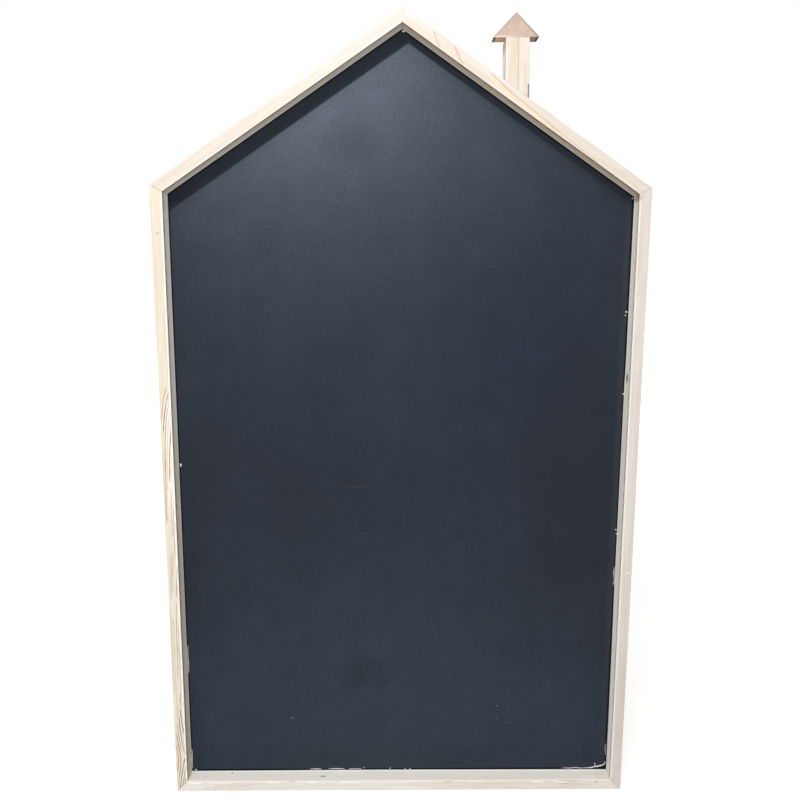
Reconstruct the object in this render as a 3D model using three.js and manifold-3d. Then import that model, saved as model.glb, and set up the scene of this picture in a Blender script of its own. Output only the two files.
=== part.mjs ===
import * as THREE from 'three';
import { mergeVertices } from 'three/addons/utils/BufferGeometryUtils.js';
import Module from 'manifold-3d';

const wasm = await Module();
wasm.setup();

// House-shaped chalkboard: five mitred battens around a recessed panel, with a chimney on the roof.
// Millimetres and degrees. X runs across the board, Y from its face to its back and Z up.
// The board hangs on a wall, and its origin is on the flat back of the bottom rail, at the middle.

// Outside of the frame
const BOARD_WIDTH = 600;
const SHOULDER_HEIGHT = 792;
const APEX_HEIGHT = 993;
const CORNER_EASE = 1.8;
const EASING_SLACK = 0.05;

// Batten that the five frame pieces are cut from
const BATTEN_FACE = 14.3;
const BATTEN_DEPTH = 27.5;
const BATTEN_ARRIS = 0.8;
const MITRE_GAP = 0.3;

// Panel, and the rebate that it lies in
const PANEL_RECESS = 23.5;
const PANEL_THICKNESS = 3;
const REBATE_WIDTH = 5;
const PANEL_EDGE_CLEARANCE = 0.5;
const PANEL_BED = 0.2;

// Chimney post, where its centre line meets the roof
const CHIMNEY_X = 135.2;
const CHIMNEY_LEAN = 1;
const POST_WIDTH = 27.7;
const POST_DEPTH = 26;
const POST_HEIGHT = 57.6;
const POST_ARRIS = 0.6;

// Chimney cap, a right-angled block with its long side down
const CAP_WIDTH = 54;
const CAP_DEPTH = 17.5;
const CAP_OFFSET = -2;
const CAP_ARRIS = 0.4;

// Gap at a glued face between two pieces
const GLUE_LINE = 0.3;

// Fasteners: a brad's head is set below the wood, a panel pin's head lies on the panel
const CORNER_BRAD = { length: 32, shank: 0.7, head: 1.1, headHeight: 0.8, sunk: 1.2 };
const POST_BRAD = { length: 38, shank: 0.7, head: 1.1, headHeight: 0.8, sunk: 0.8 };
const CAP_BRAD = { length: 30, shank: 0.6, head: 1, headHeight: 0.8, sunk: 1.2 };
const PANEL_PIN = { length: 15, shank: 0.65, head: 1.3, headHeight: 0.5, sunk: 0 };
const BORE_CLEARANCE = 0.3;
const BORE_MOUTH = 4;
const PIN_FROM_PANEL_EDGE = 2.2;
const PIN_END_MARGIN = 32;
const CORNER_BRAD_INSETS = [7, 18];
const POST_BRAD_SPREAD = 12;
const CAP_BRAD_SPREAD = 14;

// Facets
const ARRIS_STEPS = 3;
const FASTENER_SIDES = 10;

const FRONT = -BATTEN_DEPTH / 2;
const BACK = BATTEN_DEPTH / 2;
const LEDGE = FRONT + PANEL_RECESS - PANEL_BED;
const REBATE_EDGE = BATTEN_FACE - REBATE_WIDTH;

const pine = new THREE.MeshStandardMaterial({ color: 0xeedfc4, roughness: 0.65, metalness: 0 });
const endGrain = new THREE.MeshStandardMaterial({ color: 0xcfae8d, roughness: 0.8, metalness: 0 });
const chalkPaint = new THREE.MeshStandardMaterial({ color: 0x31383f, roughness: 0.75, metalness: 0 });
const steel = new THREE.MeshStandardMaterial({ color: 0xb4b2ac, roughness: 0.4, metalness: 0.9 });

// The house outline runs anticlockwise as seen from the face, in X and Z.
const CORNERS = {
  bottomLeft: new THREE.Vector2(-BOARD_WIDTH / 2, 0),
  bottomRight: new THREE.Vector2(BOARD_WIDTH / 2, 0),
  rightShoulder: new THREE.Vector2(BOARD_WIDTH / 2, SHOULDER_HEIGHT),
  apex: new THREE.Vector2(0, APEX_HEIGHT),
  leftShoulder: new THREE.Vector2(-BOARD_WIDTH / 2, SHOULDER_HEIGHT),
};
const OUTLINE = Object.values(CORNERS);

// Each batten starts at its own corner of the outline and ends at the next one.
const RAILS = [
  { name: 'bottom_rail', pins: 5 },
  { name: 'right_stile', pins: 6 },
  { name: 'right_roof_rail', pins: 3 },
  { name: 'left_roof_rail', pins: 3 },
  { name: 'left_stile', pins: 6 },
];
RAILS.forEach((rail, index) => {
  rail.start = index;
  rail.end = (index + 1) % OUTLINE.length;
  rail.from = OUTLINE[rail.start];
  rail.along = OUTLINE[rail.end].clone().sub(rail.from).normalize();
  rail.inward = new THREE.Vector2(-rail.along.y, rail.along.x);
});

const railNamed = (name) => RAILS.find((rail) => rail.name === name);
const cross = (a, b) => a.x * b.y - a.y * b.x;

// Point where a line inset from one rail's outer edge crosses a line inset from another's.
function crossing(railA, insetA, railB, insetB) {
  const a = railA.from.clone().addScaledVector(railA.inward, insetA);
  const b = railB.from.clone().addScaledVector(railB.inward, insetB);
  const t = cross(b.sub(a), railB.along) / cross(railA.along, railB.along);
  return a.addScaledVector(railA.along, t);
}

// Corner of the outline, moved in by the same inset from both of its rails.
function insetCorner(index, inset) {
  const before = RAILS[(index + RAILS.length - 1) % RAILS.length];
  return crossing(before, inset, RAILS[index], inset);
}

// How far a batten stops short of a mitre along its own length, so that half the gap is left.
function mitreSetback(index) {
  const before = RAILS[(index + RAILS.length - 1) % RAILS.length];
  const turn = before.along.angleTo(RAILS[index].along);
  return MITRE_GAP / 2 / Math.cos(turn / 2);
}

const atDepth = (point, y) => new THREE.Vector3(point.x, y, point.y);
const directionOf = (vector) => new THREE.Vector3(vector.x, 0, vector.y);

function bare(geometry) {
  const copy = geometry.clone();
  copy.deleteAttribute('normal');
  copy.deleteAttribute('uv');
  return mergeVertices(copy, 1e-5);
}

function toManifold(geometry) {
  const merged = bare(geometry);
  return new wasm.Manifold(new wasm.Mesh({
    numProp: 3,
    vertProperties: merged.attributes.position.array,
    triVerts: new Uint32Array(merged.index.array),
  }));
}

function toGeometry(solid) {
  const mesh = solid.getMesh();
  const geometry = new THREE.BufferGeometry();
  geometry.setAttribute('position', new THREE.BufferAttribute(mesh.vertProperties, 3));
  geometry.setIndex(new THREE.BufferAttribute(mesh.triVerts, 1));
  geometry.computeVertexNormals();
  return geometry;
}

// Closed shape through points, with a rounded corner wherever a point has a radius.
function roundedShape(points) {
  const shape = new THREE.Shape();
  points.forEach((point, index) => {
    const before = points[(index + points.length - 1) % points.length];
    const after = points[(index + 1) % points.length];
    const radius = point.radius ?? 0;
    const corner = new THREE.Vector2(point.x, point.y);
    const back = new THREE.Vector2(before.x, before.y).sub(corner).normalize();
    const ahead = new THREE.Vector2(after.x, after.y).sub(corner).normalize();
    const reach = radius / Math.tan(back.angleTo(ahead) / 2);
    const enter = corner.clone().addScaledVector(back, reach);
    const leave = corner.clone().addScaledVector(ahead, reach);
    if (index === 0) {
      shape.moveTo(enter.x, enter.y);
    } else {
      shape.lineTo(enter.x, enter.y);
    }
    if (radius > 0) {
      shape.quadraticCurveTo(corner.x, corner.y, leave.x, leave.y);
    }
  });
  shape.closePath();
  return shape;
}

// Batten section: depth along x, distance in from the outer edge along y, with the rebate at the back.
function battenSection() {
  const radius = BATTEN_ARRIS;
  return roundedShape([
    { x: FRONT, y: 0, radius },
    { x: BACK, y: 0, radius },
    { x: BACK, y: REBATE_EDGE, radius },
    { x: LEDGE, y: REBATE_EDGE },
    { x: LEDGE, y: BATTEN_FACE, radius },
    { x: FRONT, y: BATTEN_FACE, radius },
  ]);
}

// A batten is its section drawn out from the mitre at its start to the mitre at its end.
function battenGeometry(rail) {
  const geometry = new THREE.ExtrudeGeometry(battenSection(), {
    depth: 1,
    steps: 1,
    bevelEnabled: false,
    curveSegments: ARRIS_STEPS,
  });
  const position = geometry.attributes.position;
  for (let i = 0; i < position.count; i += 1) {
    const depth = position.getX(i);
    const inset = position.getY(i);
    const atEnd = position.getZ(i) > 0.5;
    const corner = atEnd ? rail.end : rail.start;
    const setback = mitreSetback(corner) * (atEnd ? -1 : 1);
    const point = insetCorner(corner, inset).addScaledVector(rail.along, setback);
    position.setXYZ(i, point.x, depth, point.y);
  }
  return geometry;
}

// Flat outline in X and Z, drawn out towards the back from the given depth.
function slabGeometry(points, front, thickness) {
  const geometry = new THREE.ExtrudeGeometry(roundedShape(points), {
    depth: thickness,
    steps: 1,
    bevelEnabled: false,
    curveSegments: ARRIS_STEPS,
  });
  geometry.rotateX(Math.PI / 2);
  geometry.translate(0, front + thickness, 0);
  return geometry;
}

// A square-sectioned piece standing along Z, with its long edges rounded.
function postGeometry(width, depth, low, high, radius) {
  const section = roundedShape([
    { x: -width / 2, y: -depth / 2, radius },
    { x: width / 2, y: -depth / 2, radius },
    { x: width / 2, y: depth / 2, radius },
    { x: -width / 2, y: depth / 2, radius },
  ]);
  const geometry = new THREE.ExtrudeGeometry(section, {
    depth: high - low,
    steps: 1,
    bevelEnabled: false,
    curveSegments: ARRIS_STEPS,
  });
  geometry.translate(0, 0, low);
  return geometry;
}

// A fastener stands along its own Y, with its head's top at zero and its tip below.
function fastenerGeometry(kind) {
  const tip = kind.shank * 2;
  const profile = [
    [0, -kind.length],
    [kind.shank, -kind.length + tip],
    [kind.shank, -kind.headHeight],
    [kind.head, -kind.headHeight],
    [kind.head, 0],
    [0, 0],
  ];
  return new THREE.LatheGeometry(profile.map(([x, y]) => new THREE.Vector2(x, y)), FASTENER_SIDES);
}

// The hole around a fastener: a wide mouth over a sunk head, then a bore for the shank.
function boreGeometry(kind) {
  const shank = kind.shank + BORE_CLEARANCE;
  const end = -kind.length - BORE_CLEARANCE;
  const head = kind.head + BORE_CLEARANCE;
  const seat = -kind.headHeight - BORE_CLEARANCE;
  const profile = kind.sunk > 0
    ? [[0, end], [shank, end], [shank, seat], [head, seat], [head, BORE_MOUTH], [0, BORE_MOUTH]]
    : [[0, end], [shank, end], [shank, BORE_MOUTH], [0, BORE_MOUTH]];
  return new THREE.LatheGeometry(profile.map(([x, y]) => new THREE.Vector2(x, y)), FASTENER_SIDES);
}

const board = new THREE.Group();
const pieces = {};
const fasteners = [];

function addPiece(name, geometry, material, parent = board) {
  const mesh = new THREE.Mesh(geometry, material);
  mesh.name = name;
  parent.add(mesh);
  pieces[name] = mesh;
  return mesh;
}

// Drives a fastener in at a point of a surface, and notes the pieces that it goes through.
function driveFastener(name, kind, point, direction, through, parent = board) {
  const mesh = new THREE.Mesh(fastenerGeometry(kind), steel);
  mesh.name = name;
  mesh.position.copy(point).addScaledVector(direction, kind.sunk);
  mesh.quaternion.setFromUnitVectors(new THREE.Vector3(0, -1, 0), direction);
  parent.add(mesh);
  fasteners.push({ mesh, kind, through });
}

// Frame: the battens, with the outer corners of the house eased after it is joined
const easedOutline = OUTLINE.map((_, index) => {
  const { x, y } = insetCorner(index, -EASING_SLACK);
  return { x, y, radius: CORNER_EASE };
});
const easedHouse = toManifold(slabGeometry(easedOutline, FRONT - BATTEN_DEPTH, BATTEN_DEPTH * 3));
for (const rail of RAILS) {
  const batten = toManifold(battenGeometry(rail)).intersect(easedHouse);
  addPiece(rail.name, toGeometry(batten), pine);
}

// Panel
const panelInset = REBATE_EDGE + PANEL_EDGE_CLEARANCE;
const panelFront = LEDGE + PANEL_BED;
const panelBack = panelFront + PANEL_THICKNESS;
const panelOutline = OUTLINE.map((_, index) => insetCorner(index, panelInset));
addPiece('chalkboard_panel', slabGeometry(panelOutline, panelFront, PANEL_THICKNESS), chalkPaint);

// Two brads hold each mitre. Each runs down the middle of one batten, from the edge of the other.
const MITRES = [
  { name: 'bottom_left', through: 'left_stile', into: 'bottom_rail' },
  { name: 'bottom_right', through: 'right_stile', into: 'bottom_rail' },
  { name: 'left_shoulder', through: 'left_roof_rail', into: 'left_stile' },
  { name: 'right_shoulder', through: 'right_roof_rail', into: 'right_stile' },
  { name: 'apex', through: 'left_roof_rail', into: 'right_roof_rail' },
];
for (const mitre of MITRES) {
  const outer = railNamed(mitre.through);
  const inner = railNamed(mitre.into);
  const entry = crossing(outer, 0, inner, BATTEN_FACE / 2);
  const forwards = entry.distanceTo(OUTLINE[inner.start]) < entry.distanceTo(OUTLINE[inner.end]);
  const direction = directionOf(inner.along).multiplyScalar(forwards ? 1 : -1);
  CORNER_BRAD_INSETS.forEach((inset, index) => {
    const name = `${mitre.name}_brad_${index + 1}`;
    const point = atDepth(entry, FRONT + inset);
    driveFastener(name, CORNER_BRAD, point, direction, [mitre.through, mitre.into]);
  });
}

// Panel pins run through the edge of the panel into the ledge of the rebate.
const pinInset = panelInset + PIN_FROM_PANEL_EDGE;
const forwardsToFace = new THREE.Vector3(0, -1, 0);
for (const rail of RAILS) {
  const from = insetCorner(rail.start, pinInset).addScaledVector(rail.along, PIN_END_MARGIN);
  const to = insetCorner(rail.end, pinInset).addScaledVector(rail.along, -PIN_END_MARGIN);
  for (let i = 0; i < rail.pins; i += 1) {
    const place = from.clone().lerp(to, i / (rail.pins - 1));
    const point = atDepth(place, panelBack + PANEL_BED + PANEL_PIN.headHeight);
    const name = `${rail.name}_pin_${i + 1}`;
    driveFastener(name, PANEL_PIN, point, forwardsToFace, ['chalkboard_panel', rail.name]);
  }
}

// Chimney: its group stands where the post's centre line meets the roof, and leans to the left.
const roof = railNamed('right_roof_rail');
const roofSlope = Math.atan2(-roof.along.y, -roof.along.x);
const chimney = new THREE.Group();
chimney.position.set(CHIMNEY_X, 0, roof.from.y + (roof.from.x - CHIMNEY_X) * Math.tan(-roofSlope));
chimney.rotation.y = -THREE.MathUtils.degToRad(CHIMNEY_LEAN);
board.add(chimney);

// The post's foot is cut to the slope of the roof, as the post sees it from its own lean.
const footSlope = Math.tan(roofSlope - THREE.MathUtils.degToRad(CHIMNEY_LEAN));
const postReach = POST_WIDTH;
const postBlank = postGeometry(POST_WIDTH, POST_DEPTH, -postReach, POST_HEIGHT, POST_ARRIS);
postBlank.translate(0, FRONT + POST_DEPTH / 2, 0);
const footGap = GLUE_LINE * Math.hypot(1, footSlope);
const belowRoof = slabGeometry([
  { x: -postReach, y: -2 * postReach },
  { x: postReach, y: -2 * postReach },
  { x: postReach, y: postReach * footSlope + footGap },
  { x: -postReach, y: -postReach * footSlope + footGap },
], FRONT - POST_DEPTH, POST_DEPTH * 3);
addPiece('chimney_post', toGeometry(toManifold(postBlank).subtract(toManifold(belowRoof))), pine, chimney);

const capFoot = POST_HEIGHT + GLUE_LINE;
const capOutline = [
  { x: CAP_OFFSET - CAP_WIDTH / 2, y: capFoot, radius: CAP_ARRIS },
  { x: CAP_OFFSET + CAP_WIDTH / 2, y: capFoot, radius: CAP_ARRIS },
  { x: CAP_OFFSET, y: capFoot + CAP_WIDTH / 2, radius: CAP_ARRIS },
];
addPiece('chimney_cap', slabGeometry(capOutline, FRONT, CAP_DEPTH), endGrain, chimney);

// Two brads rise through the roof rail into the post, one towards the front and one towards the back.
const up = new THREE.Vector3(0, 0, 1);
const roofUnderside = -BATTEN_FACE * Math.hypot(1, footSlope);
const postMiddle = FRONT + POST_DEPTH / 2;
[-1, 1].forEach((side, index) => {
  const across = side * POST_BRAD_SPREAD / 2;
  const point = new THREE.Vector3(across, postMiddle + across, roofUnderside + across * footSlope);
  const name = `chimney_post_brad_${index + 1}`;
  driveFastener(name, POST_BRAD, point, up, ['right_roof_rail', 'chimney_post'], chimney);
});

// Two brads go down through the slopes of the cap into the top of the post.
const down = new THREE.Vector3(0, 0, -1);
[-1, 1].forEach((side, index) => {
  const across = side * CAP_BRAD_SPREAD / 2;
  const slopeHeight = capFoot + CAP_WIDTH / 2 - Math.abs(across);
  const point = new THREE.Vector3(CAP_OFFSET + across, FRONT + CAP_DEPTH / 2, slopeHeight);
  const name = `chimney_cap_brad_${index + 1}`;
  driveFastener(name, CAP_BRAD, point, down, ['chimney_cap', 'chimney_post'], chimney);
});

// The pieces are laid out around the middle of the frame's depth, from its underside up.
// The whole board then moves so that the middle of the bottom rail's flat back is the origin.
board.position.set(0, -BACK, -REBATE_EDGE / 2);

// Every fastener leaves its hole in each piece that it goes through.
board.updateMatrixWorld(true);
for (const piece of Object.values(pieces)) {
  const bores = fasteners.filter((fastener) => fastener.through.includes(piece.name));
  if (bores.length > 0) {
    const toPiece = piece.matrixWorld.clone().invert();
    let solid = toManifold(piece.geometry);
    for (const { mesh, kind } of bores) {
      const bore = boreGeometry(kind).applyMatrix4(toPiece.clone().multiply(mesh.matrixWorld));
      solid = solid.subtract(toManifold(bore));
    }
    piece.geometry = toGeometry(solid);
  }
}

export default board;
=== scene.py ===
import math

import bmesh
import bpy
from mathutils import Matrix, Vector, noise


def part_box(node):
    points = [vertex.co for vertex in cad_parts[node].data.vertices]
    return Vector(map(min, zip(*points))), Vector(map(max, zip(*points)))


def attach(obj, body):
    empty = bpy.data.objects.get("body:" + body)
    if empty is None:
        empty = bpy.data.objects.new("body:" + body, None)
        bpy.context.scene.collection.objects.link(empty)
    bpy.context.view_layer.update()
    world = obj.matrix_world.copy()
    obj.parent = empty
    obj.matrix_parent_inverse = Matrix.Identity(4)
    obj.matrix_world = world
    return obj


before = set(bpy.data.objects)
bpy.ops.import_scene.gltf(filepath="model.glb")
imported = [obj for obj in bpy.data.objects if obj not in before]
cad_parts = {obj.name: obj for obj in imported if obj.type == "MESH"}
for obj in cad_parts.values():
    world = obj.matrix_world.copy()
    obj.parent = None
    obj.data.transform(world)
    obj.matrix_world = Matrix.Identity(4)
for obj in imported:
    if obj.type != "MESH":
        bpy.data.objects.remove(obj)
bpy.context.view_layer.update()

# Places on the frame, in metres. X runs across the board, Y into the wall and Z up.
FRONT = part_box("bottom_rail")[0].y
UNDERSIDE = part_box("bottom_rail")[0].z
HALF_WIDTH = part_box("right_stile")[1].x
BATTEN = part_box("bottom_rail")[1].z - UNDERSIDE
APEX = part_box("left_roof_rail")[1].z
PANEL_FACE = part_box("chalkboard_panel")[0].y
POST_LOW, POST_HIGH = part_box("chimney_post")
CAP_LOW, CAP_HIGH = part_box("chimney_cap")

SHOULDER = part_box("right_stile")[1].z
ROOF_PITCH = math.atan2(APEX - SHOULDER, HALF_WIDTH)
CHIMNEY_LEAN = math.radians(1)


def node_group(name, inputs, outputs):
    """A shader node group with named sockets, and its input and output nodes."""
    group = bpy.data.node_groups.new(name, "ShaderNodeTree")
    for label, kind, value in inputs:
        socket = group.interface.new_socket(label, in_out="INPUT", socket_type="NodeSocket" + kind)
        if value is not None:
            socket.default_value = value
    for label, kind in outputs:
        group.interface.new_socket(label, in_out="OUTPUT", socket_type="NodeSocket" + kind)
    entry = group.nodes.new("NodeGroupInput")
    leave = group.nodes.new("NodeGroupOutput")
    return group, entry.outputs, leave.inputs


class Nodes:
    """Adds nodes to one tree. A value given for an input is either a socket or a plain value."""

    def __init__(self, tree):
        self.tree = tree

    def feed(self, socket, value):
        if isinstance(value, bpy.types.NodeSocket):
            self.tree.links.new(value, socket)
        else:
            socket.default_value = value

    def add(self, kind, inputs=None, **settings):
        node = self.tree.nodes.new("ShaderNode" + kind)
        for key, value in settings.items():
            setattr(node, key, value)
        for key, value in (inputs or {}).items():
            self.feed(node.inputs[key], value)
        return node

    def math(self, operation, *values, clamp=False):
        node = self.tree.nodes.new("ShaderNodeMath")
        node.operation = operation
        node.use_clamp = clamp
        for index, value in enumerate(values):
            self.feed(node.inputs[index], value)
        return node.outputs[0]

    def vector(self, operation, *values):
        node = self.tree.nodes.new("ShaderNodeVectorMath")
        node.operation = operation
        for index, value in enumerate(values):
            self.feed(node.inputs[index], value)
        return node.outputs["Value" if operation in ("LENGTH", "DISTANCE", "DOT_PRODUCT") else "Vector"]

    def ramp(self, value, low, high, start=0.0, end=1.0):
        """Goes smoothly from start at low to end at high."""
        node = self.tree.nodes.new("ShaderNodeMapRange")
        node.interpolation_type = "SMOOTHSTEP"
        for index, item in enumerate((value, low, high, start, end)):
            self.feed(node.inputs[index], item)
        return node.outputs[0]

    def curve(self, value, points, top):
        """A smooth curve through (value, result) points, level before the first and after the last."""
        first, last = points[0][0], points[-1][0]
        node = self.tree.nodes.new("ShaderNodeFloatCurve")
        track = node.mapping.curves[0]
        spots = [((place - first) / (last - first), height / top) for place, height in points]
        track.points[0].location = spots[0]
        track.points[1].location = spots[-1]
        for spot in spots[1:-1]:
            track.points.new(*spot)
        node.mapping.update()
        share = self.math("DIVIDE", self.math("SUBTRACT", value, first), last - first, clamp=True)
        self.feed(node.inputs["Value"], share)
        return self.math("MULTIPLY", node.outputs[0], top)

    def noise(self, vector, stretch, detail=2.0, roughness=0.5, **inputs):
        """Noise in a vector that is first multiplied by stretch, axis by axis."""
        values = {"Vector": self.vector("MULTIPLY", vector, stretch), "Scale": 1.0, "Detail": detail,
                  "Roughness": roughness}
        values.update(inputs)
        return self.add("TexNoise", values).outputs["Fac"]

    def mix(self, factor, a, b, blend="MIX"):
        node = self.tree.nodes.new("ShaderNodeMix")
        node.data_type = "RGBA"
        node.blend_type = blend
        self.feed(node.inputs[0], factor)
        self.feed(node.inputs[6], a)
        self.feed(node.inputs[7], b)
        return node.outputs[2]

    def stain(self, colour, mask, amount, tint, blend="MIX"):
        """Lays a tint over a colour, as strongly as the mask times the amount."""
        return self.mix(self.math("MULTIPLY", mask, amount), colour, (*tint, 1), blend)

    def split(self, vector):
        return self.add("SeparateXYZ", {"Vector": vector}).outputs

    def join(self, x, y, z):
        return self.add("CombineXYZ", {"X": x, "Y": y, "Z": z}).outputs[0]

    def group(self, tree, **inputs):
        node = self.tree.nodes.new("ShaderNodeGroup")
        node.node_tree = tree
        for key, value in inputs.items():
            self.feed(node.inputs[key.replace("_", " ")], value)
        return node.outputs


def grown_wood_group():
    """Growth rings, fibres and slow colour changes of a stick of wood whose grain runs along X."""
    group, given, result = node_group(
        "grown wood",
        [
            ("Place", "Vector", None),
            ("Pith", "Vector", (0, 0.05, 0.01)),
            ("Ring width", "Float", 0.003),
            ("Wander", "Float", 0.002),
            ("Push", "Float", 0.0),
            ("Seed", "Float", 0.0),
        ],
        [("Late wood", "Float"), ("Fibre", "Float"), ("Tone", "Float"), ("Shade", "Float"),
         ("Pore", "Float")],
    )
    n = Nodes(group)
    seed = n.join(given["Seed"], given["Seed"], given["Seed"])
    place = n.vector("ADD", given["Place"], n.vector("MULTIPLY", seed, (0.37, 0.11, 0.23)))
    slow = n.noise(place, (5.0, 30.0, 30.0), 1.0)
    quick = n.noise(place, (22.0, 120.0, 120.0))
    wander = n.math("MULTIPLY", n.math("SUBTRACT", slow, 0.5), 2.0)
    ripple = n.math("MULTIPLY", n.math("SUBTRACT", quick, 0.5), 0.35)
    shift = n.math("MULTIPLY", n.math("ADD", wander, ripple), given["Wander"])
    across = n.vector("MULTIPLY", n.vector("SUBTRACT", given["Place"], given["Pith"]), (0, 1, 1))
    radius = n.math("ADD", n.vector("LENGTH", across), n.math("ADD", shift, given["Push"]))
    turns = n.math("DIVIDE", radius, given["Ring width"])
    drift = n.noise(n.join(turns, given["Seed"], 0.0), (0.7, 0.7, 0.7))
    uneven = n.math("ADD", turns, n.math("MULTIPLY", drift, 1.2))
    phase = n.math("FRACT", uneven)
    rise = n.ramp(phase, 0.35, 0.9)
    fall = n.ramp(phase, 0.93, 1.0, 1.0, 0.0)
    n.feed(result["Late wood"], n.math("MULTIPLY", rise, fall))
    fibre = n.noise(place, (60.0, 2600.0, 2600.0), 3.0, 0.6)
    n.feed(result["Fibre"], n.ramp(fibre, 0.3, 0.7))
    n.feed(result["Tone"], n.noise(place, (13.0, 260.0, 260.0), 2.0))
    n.feed(result["Shade"], n.noise(place, (4.0, 60.0, 60.0), 2.0))
    pore = n.noise(place, (180.0, 2200.0, 2200.0), 1.0)
    n.feed(result["Pore"], n.ramp(pore, 0.68, 0.76))
    return group


def streak_group():
    """One line of the grain, between two places along the stick, whose width varies."""
    group, given, result = node_group(
        "grain streak",
        [
            ("Place", "Vector", None),
            ("From", "Float", 0.0),
            ("To", "Float", 0.1),
            ("Centre", "Float", 0.005),
            ("Width", "Float", 0.001),
            ("Soft ends", "Float", 0.01),
        ],
        [("Line", "Float")],
    )
    n = Nodes(group)
    along, _, inset = n.split(given["Place"])
    waver = n.noise(n.join(along, given["Centre"], 0.0), (60.0, 300.0, 0.0))
    centre = n.math("ADD", given["Centre"], n.math("MULTIPLY", n.math("SUBTRACT", waver, 0.5), 0.0010))
    away = n.math("ABSOLUTE", n.math("SUBTRACT", inset, centre))
    width = n.math("MULTIPLY", given["Width"], n.ramp(waver, 0.3, 0.7, 0.65, 1.3))
    line = n.ramp(away, 0.0, width, 1.0, 0.0)
    begin = n.ramp(n.math("SUBTRACT", along, given["From"]), 0.0, given["Soft ends"])
    end = n.ramp(n.math("SUBTRACT", given["To"], along), 0.0, given["Soft ends"])
    n.feed(result["Line"], n.math("MULTIPLY", line, n.math("MULTIPLY", begin, end)))
    return group


def knot_group():
    """A pin knot: its dark core, and how far it pushes the rings around it."""
    group, given, result = node_group(
        "pin knot",
        [
            ("Place", "Vector", None),
            ("Centre", "Vector", (0, 0, 0)),
            ("Stretch", "Vector", (0.8, 0.8, 1.0)),
            ("Size", "Float", 0.001),
            ("Reach", "Float", 0.012),
            ("Lift", "Float", 0.004),
        ],
        [("Core", "Float"), ("Push", "Float")],
    )
    n = Nodes(group)
    offset = n.vector("SUBTRACT", given["Place"], given["Centre"])
    core = n.vector("LENGTH", n.vector("MULTIPLY", offset, given["Stretch"]))
    n.feed(result["Core"], n.ramp(core, n.math("MULTIPLY", given["Size"], 0.5), given["Size"], 1.0, 0.0))
    wide = n.vector("LENGTH", n.vector("MULTIPLY", offset, (0.45, 0.4, 1.0)))
    ratio = n.math("DIVIDE", wide, given["Reach"])
    bell = n.math("EXPONENT", n.math("MULTIPLY", n.math("MULTIPLY", ratio, ratio), -1.0))
    n.feed(result["Push"], n.math("MULTIPLY", bell, given["Lift"]))
    return group


def inward(angle):
    """Direction in from the outer edge of a side that runs at this angle, in X and Z."""
    return (-math.sin(angle), 0.0, math.cos(angle))


# The five sides of the house, anticlockwise as seen from the face: corner, and angle along the side
SIDES = {
    "bottom_rail": ((-HALF_WIDTH, FRONT, UNDERSIDE), 0.0),
    "right_stile": ((HALF_WIDTH, FRONT, UNDERSIDE), math.pi / 2),
    "right_roof_rail": ((HALF_WIDTH, FRONT, SHOULDER), math.pi - ROOF_PITCH),
    "left_roof_rail": ((0.0, FRONT, APEX), math.pi + ROOF_PITCH),
    "left_stile": ((-HALF_WIDTH, FRONT, SHOULDER), 1.5 * math.pi),
}


def from_edge_group():
    """Distance in from the inner faces of the frame, over the panel."""
    group, given, result = node_group(
        "distance from frame",
        [("Place", "Vector", None)],
        [("Distance", "Float"), ("From right", "Float"), ("From right roof", "Float"),
         ("From left roof", "Float")],
    )
    n = Nodes(group)
    distances = {}
    for name, (corner, angle) in SIDES.items():
        offset = n.vector("SUBTRACT", given["Place"], corner)
        distances[name] = n.math("SUBTRACT", n.vector("DOT_PRODUCT", offset, inward(angle)), BATTEN)
    nearest = None
    for distance in distances.values():
        nearest = distance if nearest is None else n.math("MINIMUM", nearest, distance)
    n.feed(result["Distance"], nearest)
    n.feed(result["From right"], distances["right_stile"])
    n.feed(result["From right roof"], distances["right_roof_rail"])
    n.feed(result["From left roof"], distances["left_roof_rail"])
    return group


def cloud_group():
    """A soft-edged patch with an uneven outline, in X and Z."""
    group, given, result = node_group(
        "uneven patch",
        [
            ("Place", "Vector", None),
            ("Centre", "Vector", (0, 0, 0)),
            ("Spread", "Vector", (0.1, 1, 0.1)),
            ("Ragged", "Float", 0.3),
            ("Softness", "Float", 0.5),
        ],
        [("Patch", "Float")],
    )
    n = Nodes(group)
    offset = n.vector("DIVIDE", n.vector("SUBTRACT", given["Place"], given["Centre"]), given["Spread"])
    rough = n.math("SUBTRACT", n.noise(given["Place"], (14.0, 0.0, 14.0), 3.0), 0.5)
    reach = n.math("ADD", n.vector("LENGTH", offset), n.math("MULTIPLY", rough, given["Ragged"]))
    start = n.math("SUBTRACT", 1.0, given["Softness"])
    n.feed(result["Patch"], n.ramp(reach, start, 1.0, 1.0, 0.0))
    return group


def fleck_group():
    """Small scattered specks, such as dust and chips, on any surface."""
    group, given, result = node_group(
        "scattered specks",
        [("Place", "Vector", None), ("Spacing", "Float", 0.02), ("Size", "Float", 0.0006),
         ("Share", "Float", 0.3)],
        [("Speck", "Float")],
    )
    n = Nodes(group)
    cells = n.add("TexVoronoi", {"Vector": given["Place"], "Scale": n.math("DIVIDE", 1.0, given["Spacing"])})
    away = n.math("MULTIPLY", cells.outputs["Distance"], given["Spacing"])
    pick = n.split(cells.outputs["Color"])[0]
    size = n.math("MULTIPLY", given["Size"], n.math("ADD", 0.5, pick))
    dot = n.ramp(away, n.math("MULTIPLY", size, 0.4), size, 1.0, 0.0)
    n.feed(result["Speck"], n.math("MULTIPLY", dot, n.math("LESS_THAN", pick, given["Share"])))
    return group


WOOD = grown_wood_group()
STREAK = streak_group()
KNOT = knot_group()
FROM_EDGE = from_edge_group()
CLOUD = cloud_group()
FLECK = fleck_group()


def empty_tree(owner):
    """Gives a material or the world an empty tree of nodes."""
    owner.use_nodes = True
    owner.node_tree.nodes.clear()
    return Nodes(owner.node_tree)


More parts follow.
